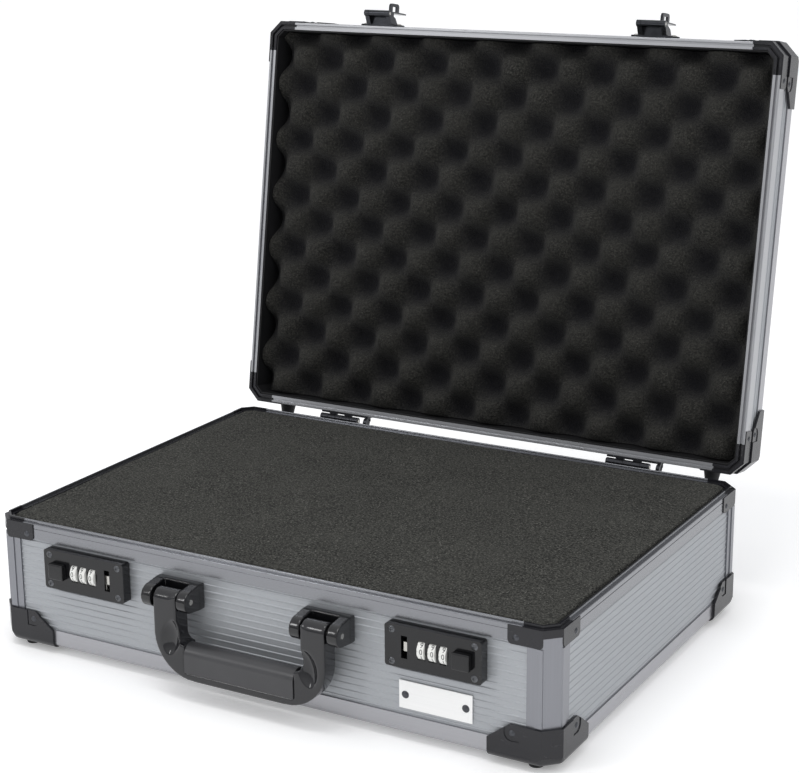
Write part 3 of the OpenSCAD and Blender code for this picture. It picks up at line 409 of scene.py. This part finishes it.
def foam_body(name, depth, height, back, round_r, body, material, on_lid=False, step=2.0):
    """A block of foam with the case's outline at that depth.

    height(x, y) gives its open face, back its flat one."""
    hx, hy = HALF_X - depth, HALF_Y - depth
    cut = CUT - depth * (2 - math.sqrt(2))

    def spaced(half):
        ends = np.array([0, 0.35, 0.9, 1.7, 2.8])
        middle = np.linspace(2.8, 2 * half - 2.8, int((2 * half - 5.6) / step))
        return np.concatenate([ends[:-1], middle, 2 * half - ends[-2::-1]]) - half

    xs, ys = spaced(hx), spaced(hy)
    x, y = np.meshgrid(xs, ys, indexing="ij")
    over = np.maximum(0, np.abs(x) + np.abs(y) - (hx + hy - cut))
    x, y = x - np.sign(x) * over / 2, y - np.sign(y) * over / 2
    inset = np.minimum(np.minimum(hx - np.abs(x), hy - np.abs(y)),
                       (hx + hy - cut - np.abs(x) - np.abs(y)) / math.sqrt(2))
    inset = np.clip(inset, 0, round_r)
    drop = round_r - np.sqrt(np.maximum(0, round_r ** 2 - (round_r - inset) ** 2))
    top = height(x, y)
    away = 1.0 if back < float(top.mean()) else -1.0
    z = top - away * drop
    nx, ny = len(xs), len(ys)
    ring = ([(i, 0) for i in range(nx)] + [(nx - 1, j) for j in range(1, ny)]
            + [(i, ny - 1) for i in range(nx - 2, -1, -1)] + [(0, j) for j in range(ny - 2, 0, -1)])
    points = [case(x[i, j], y[i, j], z[i, j], on_lid) for i in range(nx) for j in range(ny)]
    first = len(points)
    points += [case(x[i, j], y[i, j], back, on_lid) for i, j in ring]
    n = len(ring)
    faces = [(i * ny + j, (i + 1) * ny + j, (i + 1) * ny + j + 1, i * ny + j + 1)
             for i in range(nx - 1) for j in range(ny - 1)]
    for k, (i, j) in enumerate(ring):
        a, b = ring[(k + 1) % n]
        faces.append((a * ny + b, i * ny + j, first + k, first + (k + 1) % n))
    faces.append([first + n - 1 - k for k in range(n)])
    if away < 0:
        faces = [tuple(reversed(f)) for f in faces]
    o = add(name, points, faces, material, body)
    o.modifiers.new("smooth", "NODES").node_group = SMOOTH
    return o


def base_face(x, y):
    return BASE_FOAM_Z + 0.25 * waves(x, y, 3, 90) + 0.10 * waves(x, y, 4, 11)


def crate_face(x, y):
    """Egg-crate foam of the closed lid, its knobs hanging down in staggered rows."""
    u = x + 0.9 * waves(x, y, 11, 60)
    v = y + 0.9 * waves(x, y, 12, 60)
    h = np.cos(2 * math.pi * (u + 149.7) / 50.5) * np.cos(2 * math.pi * (v + 136.5) / 47.4)
    h = 0.5 + 0.5 * h
    h = 0.2 * h + 0.8 * h * h * (3 - 2 * h)
    return CRATE_Z - CRATE_KNOB * h + 0.5 * waves(x, y, 13, 70) + 0.12 * waves(x, y, 14, 7)


base_foam = foam("mat_foam_base", (0.011, 0.011, 0.010), (0.070, 0.070, 0.062), (0.20, 0.20, 0.18))
# The lid's foam gets painted shade in its valleys, in the last colour given
lid_foam_look = foam("mat_foam_lid", (0.014, 0.014, 0.013), (0.040, 0.039, 0.035),
                     (0.065, 0.063, 0.057), True, (0.008, 0.008, 0.011))
block = foam_body("foam_block", 8.6, base_face, 22.2, 1.6, "base", base_foam)
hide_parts("base_foam_block")
pad = foam_body("foam_pad", 8.8, lambda x, y: 20.4 + 0.1 * waves(x, y, 5, 60), 12.0, 1.2,
                "base", base_foam, step=8.0)
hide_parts("base_foam_pad")
crate = foam_body("foam_egg_crate", 8.6, crate_face, 132.2, 1.4, "lid", lid_foam_look, on_lid=True)
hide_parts("lid_foam")


def digit(text, size):
    """One thin solid digit, cut into strips to bend: points (x, y, 1 on its back or 0) and faces."""
    curve = bpy.data.curves.new("digit", "FONT")
    curve.body, curve.size, curve.align_x, curve.align_y = text, size, "CENTER", "CENTER"
    curve.resolution_u = 3
    o = bpy.data.objects.new("digit", curve)
    bpy.context.scene.collection.objects.link(o)
    bpy.context.view_layer.update()
    mesh = bpy.data.meshes.new_from_object(o.evaluated_get(bpy.context.evaluated_depsgraph_get()))
    bm = bmesh.new()
    bm.from_mesh(mesh)
    bmesh.ops.remove_doubles(bm, verts=bm.verts, dist=1e-5)
    for k in range(-6, 7):
        bmesh.ops.bisect_plane(bm, geom=bm.verts[:] + bm.edges[:] + bm.faces[:], dist=1e-6,
                               plane_co=(0, k * size * 0.08, 0), plane_no=(0, 1, 0))
    bm.verts.index_update()
    n = len(bm.verts)
    points = [(v.co.x, v.co.y, back) for back in (0, 1) for v in bm.verts]
    faces = [[v.index for v in f.verts] for f in bm.faces]
    edges = {(f[i - 1], f[i]) for f in faces for i in range(len(f))}
    walls = [(b, a, a + n, b + n) for a, b in sorted(edges) if (b, a) not in edges]
    faces += [[i + n for i in reversed(f)] for f in faces] + walls
    bm.free()
    bpy.data.objects.remove(o)
    bpy.data.meshes.remove(mesh)
    return points, faces


DIGIT_SIZE, DIGIT_R, DIGIT_DEPTH = 5.4, 7.54, 0.1
DIGIT_NARROW, DIGIT_ASIDE = 0.92, 0.65
DIGITS = [digit(str(n), DIGIT_SIZE) for n in range(10)]
ink = plastic("mat_digit_ink", (0.010, 0.010, 0.012), 0.5, grain=1200.0)
for key in ("left_1", "left_2", "left_3", "right_1", "right_2", "right_3"):
    low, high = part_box("dial_" + key)
    centre = (low + high) / 2
    side = 1 if key.startswith("right") else -1
    points, faces = [], []
    for n in range(10):
        turn = -math.radians(36) * n
        pts, fcs = DIGITS[n]
        faces += [[len(points) + i for i in f] for f in fcs]
        for px, py, back in pts:
            a = turn + py / DIGIT_R
            r = (DIGIT_R - DIGIT_DEPTH * back) * MM
            across = (px * DIGIT_NARROW + side * DIGIT_ASIDE) * MM
            points.append((centre.x + across, centre.y - r * math.cos(a), centre.z + r * math.sin(a)))
    add("digits_" + key, points, faces, ink, "wheel_" + key)


def coil(name, start, end, y, z, r, wire, turns, side):
    """A closed coil of round wire along x, from start to end."""
    steps, sides = 24 * turns, 10
    points, faces = [], []
    for k in range(steps + 1):
        a = 2 * math.pi * turns * k / steps
        centre = Vector((start + (end - start) * k / steps, y + r * math.cos(a), z + r * math.sin(a)))
        for i in range(sides):
            b = 2 * math.pi * i / sides
            points.append((centre + wire * Vector((math.sin(b), math.cos(a) * math.cos(b),
                                                   math.sin(a) * math.cos(b)))) * MM)
    for k in range(steps):
        for i in range(sides):
            j = (i + 1) % sides
            face = (k * sides + i, (k + 1) * sides + i, (k + 1) * sides + j, k * sides + j)
            faces.append(face if side < 0 else face[::-1])
    first, last = list(range(sides)), [steps * sides + i for i in range(sides)]
    faces += [first[::-1], last] if side > 0 else [first, last[::-1]]
    return add(name, points, faces, slot_material("bright_steel", False), "base")


# Bolt springs: each is pressed against the outer end of its lock by the sliding bolt
SPRING_WIRE, SPRING_TURNS, SPRING_KEEP = 0.35, 3, 0.46
SPRING_CLEAR = 0.05
low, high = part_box("bolt_springs")
outer = high.x / MM
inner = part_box("bolt_right")[1].x / MM
for side, where in ((-1, "left"), (1, "right")):
    o = coil("spring_" + where, side * (inner + SPRING_WIRE + SPRING_CLEAR), side * (outer - SPRING_WIRE),
             (low.y + high.y) / 2 / MM, (low.z + high.z) / 2 / MM, (high.y - low.y) / 2 / MM - SPRING_WIRE,
             SPRING_WIRE, SPRING_TURNS, side)
    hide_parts("bolt_springs")
    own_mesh(o)


def corner_line(depth, leg, sx, sy):
    """Points round one cut corner at that depth, from leg mm along one wall to leg mm along the other."""
    x, y, c = HALF_X - depth, HALF_Y - depth, CUT - depth * (2 - math.sqrt(2))
    line = [(HALF_X - leg, y), (x - c, y), (x, y - c), (x, HALF_Y - leg)]
    return [(sx * px, sy * py) for px, py in line]


def ridge(points, faces, line, z, r, proud, on_lid):
    """A low bead of half-width r along a line at height z, proud by less than the closed rims' gap."""
    sides, start = 6, len(points)
    rounded = []
    for i, p in enumerate(line):
        if 0 < i < len(line) - 1:
            for t in (-1, -0.35, 0.35, 1):
                q = line[i - 1] if t < 0 else line[i + 1]
                d = Vector(q) - Vector(p)
                rounded.append(Vector(p) + d.normalized() * abs(t) * 0.8)
        else:
            rounded.append(Vector(p))
    for i, p in enumerate(rounded):
        a, b = rounded[max(0, i - 1)], rounded[min(len(rounded) - 1, i + 1)]
        side = (b - a).normalized()
        side = Vector((side.y, -side.x))
        for s in range(sides):
            t = math.pi * s / (sides - 1)
            q = p + side * r * math.cos(t)
            up = proud * math.sin(t) * (-1 if on_lid else 1)
            points.append(case(q.x, q.y, z + up, on_lid))
    for i in range(len(rounded) - 1):
        for s in range(sides - 1):
            a = start + i * sides + s
            faces.append((a, a + 1, a + sides + 1, a + sides))
        faces.append((start + i * sides, start + (i + 1) * sides, start + (i + 2) * sides - 1,
                      start + (i + 1) * sides - 1))
    faces.append([start + s for s in range(sides)])
    faces.append([start + (len(rounded) - 1) * sides + s for s in reversed(range(sides))])


# The lid's beads lie between the base's, so that the rims close without touching
RIDGE_LEG, RIDGE_HALF, RIDGE_PROUD = 24.4, 0.2, 0.08
RIDGE_DEPTHS = {"base": (1.35, 2.2, 5.3, 6.2), "lid": (1.78, 2.65, 5.75)}
for which, on_lid, z in (("base", False, RIM_Z - RIM_GAP), ("lid", True, RIM_Z)):
    points, faces = [], []
    for sx in (-1, 1):
        for sy in (-1, 1):
            for depth in RIDGE_DEPTHS[which]:
                line = corner_line(depth, RIDGE_LEG, sx, sy)
                ridge(points, faces, line, z, RIDGE_HALF, RIDGE_PROUD, on_lid)
    black = slot_material("black_plastic", on_lid)
    add(f"{which}_corner_ridges", points, faces, black, which)


# ---------------------------------------------------------------- studio

def soft_light(name, at, to, size, radiance):
    data = bpy.data.lights.new(name, "AREA")
    data.shape = "RECTANGLE"
    data.size, data.size_y = size
    data.energy = radiance * math.pi * size[0] * size[1]
    o = bpy.data.objects.new(name, data)
    bpy.context.scene.collection.objects.link(o)
    o.location = at
    o.rotation_euler = (Vector(to) - Vector(at)).to_track_quat("-Z", "Y").to_euler()


soft_light("top", (0.0, -0.6, 2.0), (0, 0, 0.15), (0.9, 0.4), 6.5)
soft_light("left", (-1.6, -2.4, 1.6), (0, 0, 0.15), (0.3, 0.8), 11.0)
soft_light("right", (2.2, -0.9, 1.9), (0, 0, 0.15), (0.4, 0.9), 3.2)

world = bpy.data.worlds.new("studio")
bpy.context.scene.world = world
world.use_nodes = True
wt = world.node_tree
direction = wt.nodes.new("ShaderNodeTexCoord").outputs["Generated"]
split = wt.nodes.new("ShaderNodeSeparateXYZ")
wt.links.new(direction, split.inputs[0])
ramp = wt.nodes.new("ShaderNodeValToRGB")
wt.links.new(split.outputs["Z"], ramp.inputs[0])
ramp.color_ramp.elements[0].position, ramp.color_ramp.elements[0].color = 0.05, (0.46, 0.465, 0.48, 1)
ramp.color_ramp.elements[1].position, ramp.color_ramp.elements[1].color = 0.6, (0.90, 0.905, 0.92, 1)
sky = wt.nodes["Background"]
wt.links.new(ramp.outputs[0], sky.inputs["Color"])
sky.inputs["Strength"].default_value = 1.0

floor_mesh = bpy.data.meshes.new("floor")
floor_mesh.from_pydata([(-25, -25, 0), (25, -25, 0), (25, 25, 0), (-25, 25, 0)], [], [(0, 1, 2, 3)])
paper = Tree("mat_floor")
paper.set("Base Color", (0.95, 0.95, 0.95, 1))
paper.set("Emission Color", (1, 1, 1, 1))
paper.set("Emission Strength", 0.22)
paper.set("Roughness", 0.7)
paper.set("Specular IOR Level", 0.2)
floor_mesh.materials.append(paper.material)
floor = bpy.data.objects.new("floor", floor_mesh)
bpy.context.scene.collection.objects.link(floor)

camera_data = bpy.data.cameras.new("camera")
camera_data.lens, camera_data.sensor_width = 86.0, 36.0
camera_data.shift_x, camera_data.shift_y = 0.02278, 0.01625
camera_data.clip_start, camera_data.clip_end = 0.05, 100.0
camera = bpy.data.objects.new("camera", camera_data)
bpy.context.scene.collection.objects.link(camera)
camera.matrix_world = Matrix(((0.864885, -0.130551, 0.484696, 0.6962),
                              (0.501856, 0.245401, -0.829408, -1.21759),
                              (-0.010665, 0.960591, 0.277762, 0.57627),
                              (0, 0, 0, 1)))
bpy.context.scene.camera = camera
bpy.context.scene.view_settings.view_transform = "Standard"
